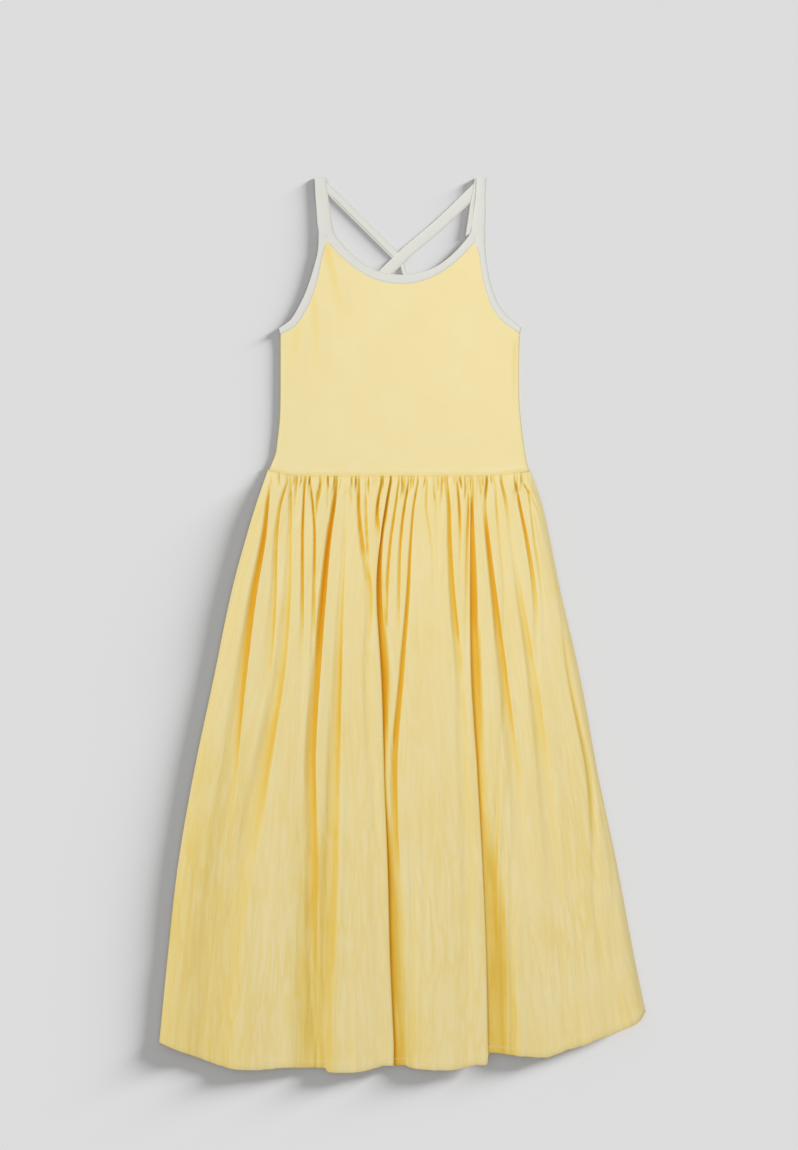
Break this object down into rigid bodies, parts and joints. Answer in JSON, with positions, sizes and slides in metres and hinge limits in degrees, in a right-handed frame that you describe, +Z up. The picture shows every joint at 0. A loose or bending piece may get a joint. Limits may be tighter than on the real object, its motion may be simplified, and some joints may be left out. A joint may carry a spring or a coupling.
{
  "type": "day dress",
  "caption": "Girl's sleeveless long dress laid flat: scooped jersey bodice with rib bindings and crossed back straps, gathered crinkled cotton skirt with a turned hem.",
  "frame": {"origin": "centre of the footprint, on the surface the dress lies on", "axes": "+Y from the hem to the straps, +X to the right as seen from the front, +Z up out of the front of the dress"},
  "size_m": [0.5694, 1.0504, 0.0124],
  "materials": {
    "jersey": "smooth matte single jersey, pale butter yellow",
    "cotton": "thin crinkled plain-weave cotton, pale butter yellow",
    "rib": "fine matte rib knit, ivory"
  },
  "bodies": {
    "root": {"front_bodice": "jersey", "back_bodice": "jersey", "neck_binding": "rib", "left_armhole_binding": "rib", "right_armhole_binding": "rib", "back_binding": "rib", "left_strap": "rib", "right_strap": "rib", "front_skirt": "cotton", "back_skirt": "cotton"}
  },
  "joints": []
}
